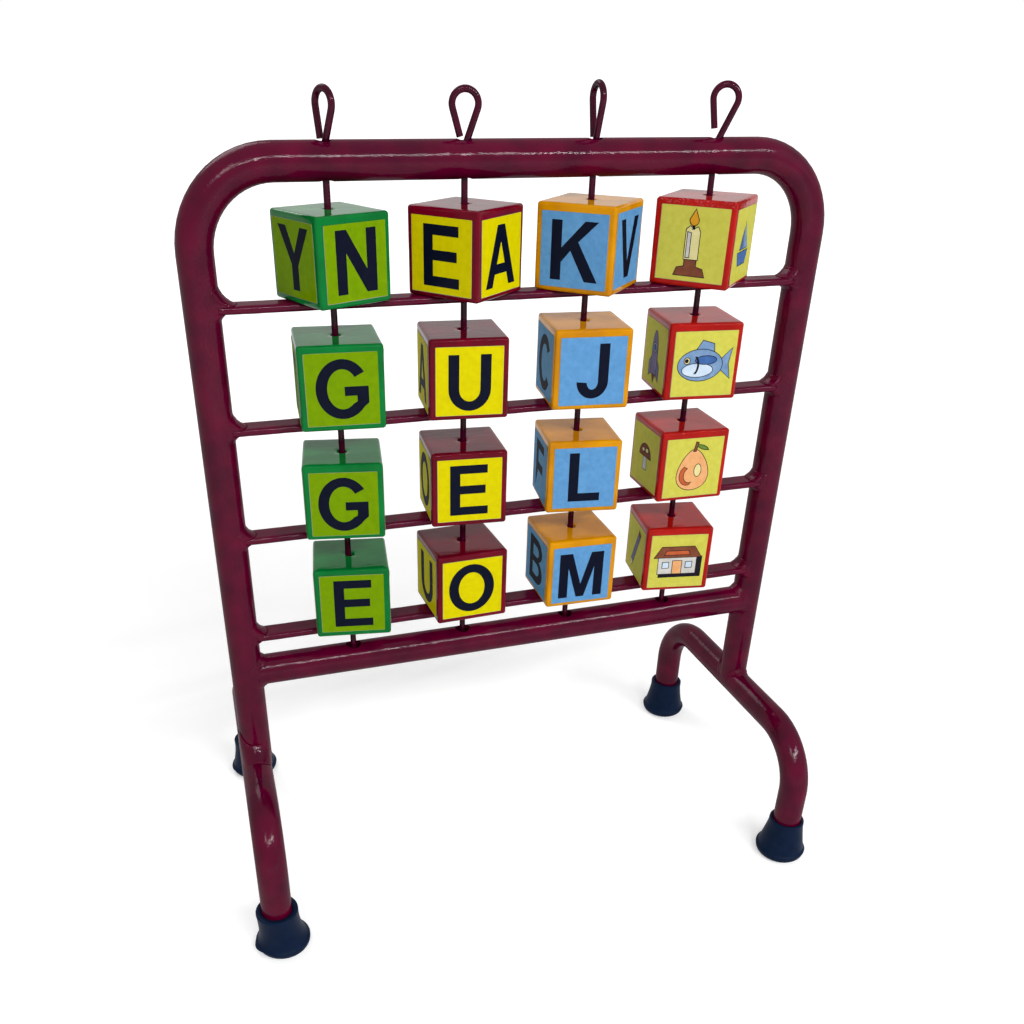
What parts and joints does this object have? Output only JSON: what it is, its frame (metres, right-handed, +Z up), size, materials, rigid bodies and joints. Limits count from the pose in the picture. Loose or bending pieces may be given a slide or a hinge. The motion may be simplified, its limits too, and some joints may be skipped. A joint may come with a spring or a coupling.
{
  "type": "turning letter block game",
  "caption": "Free-standing bent tube stand with rows of wooden letter cubes that turn on vertical wire rods with loop handles",
  "frame": {"origin": "on the floor, in the middle of the footprint of the four ferrules", "axes": "+X along the rows of cubes to the player's right, -Y towards the player, +Z up"},
  "size_m": [0.4378, 0.2682, 0.5411],
  "materials": {
    "maroon_enamel": "gloss",
    "ferrule_rubber": "matte",
    "green_enamel": "gloss paint",
    "crimson_enamel": "gloss paint",
    "ochre_enamel": "gloss paint",
    "red_enamel": "gloss paint",
    "lime_sticker": "satin",
    "yellow_sticker": "satin",
    "blue_sticker": "satin",
    "pale_yellow_sticker": "satin"
  },
  "bodies": {
    "stand": {"main_frame": "maroon_enamel", "left_foot": "maroon_enamel", "right_foot": "maroon_enamel", "bottom_rail": "maroon_enamel", "crossbar_1": "maroon_enamel", "crossbar_2": "maroon_enamel", "crossbar_3": "maroon_enamel", "crossbar_4": "maroon_enamel", "crossbar_welds": "maroon_enamel", "rail_end_welds": "maroon_enamel", "foot_joint_welds": "maroon_enamel", "ferrule_front_left": "ferrule_rubber", "ferrule_front_right": "ferrule_rubber", "ferrule_rear_left": "ferrule_rubber", "ferrule_rear_right": "ferrule_rubber"},
    "rod_1": {"rod_1": "maroon_enamel"},
    "rod_2": {"rod_2": "maroon_enamel"},
    "rod_3": {"rod_3": "maroon_enamel"},
    "rod_4": {"rod_4": "maroon_enamel"},
    "cube_r1_c1": {"cube_r1_c1": "green_enamel", "stickers_r1_c1": "lime_sticker"},
    "cube_r1_c2": {"cube_r1_c2": "crimson_enamel", "stickers_r1_c2": "yellow_sticker"},
    "cube_r1_c3": {"cube_r1_c3": "ochre_enamel", "stickers_r1_c3": "blue_sticker"},
    "cube_r1_c4": {"cube_r1_c4": "red_enamel", "stickers_r1_c4": "pale_yellow_sticker"},
    "cube_r2_c1": {"cube_r2_c1": "green_enamel", "stickers_r2_c1": "lime_sticker"},
    "cube_r2_c2": {"cube_r2_c2": "crimson_enamel", "stickers_r2_c2": "yellow_sticker"},
    "cube_r2_c3": {"cube_r2_c3": "ochre_enamel", "stickers_r2_c3": "blue_sticker"},
    "cube_r2_c4": {"cube_r2_c4": "red_enamel", "stickers_r2_c4": "pale_yellow_sticker"},
    "cube_r3_c1": {"cube_r3_c1": "green_enamel", "stickers_r3_c1": "lime_sticker"},
    "cube_r3_c2": {"cube_r3_c2": "crimson_enamel", "stickers_r3_c2": "yellow_sticker"},
    "cube_r3_c3": {"cube_r3_c3": "ochre_enamel", "stickers_r3_c3": "blue_sticker"},
    "cube_r3_c4": {"cube_r3_c4": "red_enamel", "stickers_r3_c4": "pale_yellow_sticker"},
    "cube_r4_c1": {"cube_r4_c1": "green_enamel", "stickers_r4_c1": "lime_sticker"},
    "cube_r4_c2": {"cube_r4_c2": "crimson_enamel", "stickers_r4_c2": "yellow_sticker"},
    "cube_r4_c3": {"cube_r4_c3": "ochre_enamel", "stickers_r4_c3": "blue_sticker"},
    "cube_r4_c4": {"cube_r4_c4": "red_enamel", "stickers_r4_c4": "pale_yellow_sticker"}
  },
  "joints": [
    {"name": "rod_1_pull", "type": "slide", "parent": "stand", "child": "rod_1", "axis": [0, 0, 1], "range_m": [0, 0.33]},
    {"name": "rod_2_pull", "type": "slide", "parent": "stand", "child": "rod_2", "axis": [0, 0, 1], "range_m": [0, 0.33]},
    {"name": "rod_3_pull", "type": "slide", "parent": "stand", "child": "rod_3", "axis": [0, 0, 1], "range_m": [0, 0.33]},
    {"name": "rod_4_pull", "type": "slide", "parent": "stand", "child": "rod_4", "axis": [0, 0, 1], "range_m": [0, 0.33]},
    {"name": "cube_r1_c1_turn", "type": "hinge", "parent": "stand", "child": "cube_r1_c1", "pos_m": [-0.11987, -0.00972, 0.4258], "axis": [0, 0, 1], "continuous": true},
    {"name": "cube_r1_c2_turn", "type": "hinge", "parent": "stand", "child": "cube_r1_c2", "pos_m": [-0.03865, -0.00972, 0.4258], "axis": [0, 0, 1], "continuous": true},
    {"name": "cube_r1_c3_turn", "type": "hinge", "parent": "stand", "child": "cube_r1_c3", "pos_m": [0.04258, -0.00972, 0.4258], "axis": [0, 0, 1], "continuous": true},
    {"name": "cube_r1_c4_turn", "type": "hinge", "parent": "stand", "child": "cube_r1_c4", "pos_m": [0.1238, -0.00972, 0.4258], "axis": [0, 0, 1], "continuous": true},
    {"name": "cube_r2_c1_turn", "type": "hinge", "parent": "stand", "child": "cube_r2_c1", "pos_m": [-0.11987, -0.00972, 0.3533], "axis": [0, 0, 1], "continuous": true},
    {"name": "cube_r2_c2_turn", "type": "hinge", "parent": "stand", "child": "cube_r2_c2", "pos_m": [-0.03865, -0.00972, 0.3533], "axis": [0, 0, 1], "continuous": true},
    {"name": "cube_r2_c3_turn", "type": "hinge", "parent": "stand", "child": "cube_r2_c3", "pos_m": [0.04258, -0.00972, 0.3533], "axis": [0, 0, 1], "continuous": true},
    {"name": "cube_r2_c4_turn", "type": "hinge", "parent": "stand", "child": "cube_r2_c4", "pos_m": [0.1238, -0.00972, 0.3533], "axis": [0, 0, 1], "continuous": true},
    {"name": "cube_r3_c1_turn", "type": "hinge", "parent": "stand", "child": "cube_r3_c1", "pos_m": [-0.11987, -0.00972, 0.2808], "axis": [0, 0, 1], "continuous": true},
    {"name": "cube_r3_c2_turn", "type": "hinge", "parent": "stand", "child": "cube_r3_c2", "pos_m": [-0.03865, -0.00972, 0.2808], "axis": [0, 0, 1], "continuous": true},
    {"name": "cube_r3_c3_turn", "type": "hinge", "parent": "stand", "child": "cube_r3_c3", "pos_m": [0.04258, -0.00972, 0.2808], "axis": [0, 0, 1], "continuous": true},
    {"name": "cube_r3_c4_turn", "type": "hinge", "parent": "stand", "child": "cube_r3_c4", "pos_m": [0.1238, -0.00972, 0.2808], "axis": [0, 0, 1], "continuous": true},
    {"name": "cube_r4_c1_turn", "type": "hinge", "parent": "stand", "child": "cube_r4_c1", "pos_m": [-0.11987, -0.00972, 0.2083], "axis": [0, 0, 1], "continuous": true},
    {"name": "cube_r4_c2_turn", "type": "hinge", "parent": "stand", "child": "cube_r4_c2", "pos_m": [-0.03865, -0.00972, 0.2083], "axis": [0, 0, 1], "continuous": true},
    {"name": "cube_r4_c3_turn", "type": "hinge", "parent": "stand", "child": "cube_r4_c3", "pos_m": [0.04258, -0.00972, 0.2083], "axis": [0, 0, 1], "continuous": true},
    {"name": "cube_r4_c4_turn", "type": "hinge", "parent": "stand", "child": "cube_r4_c4", "pos_m": [0.1238, -0.00972, 0.2083], "axis": [0, 0, 1], "continuous": true}
  ]
}
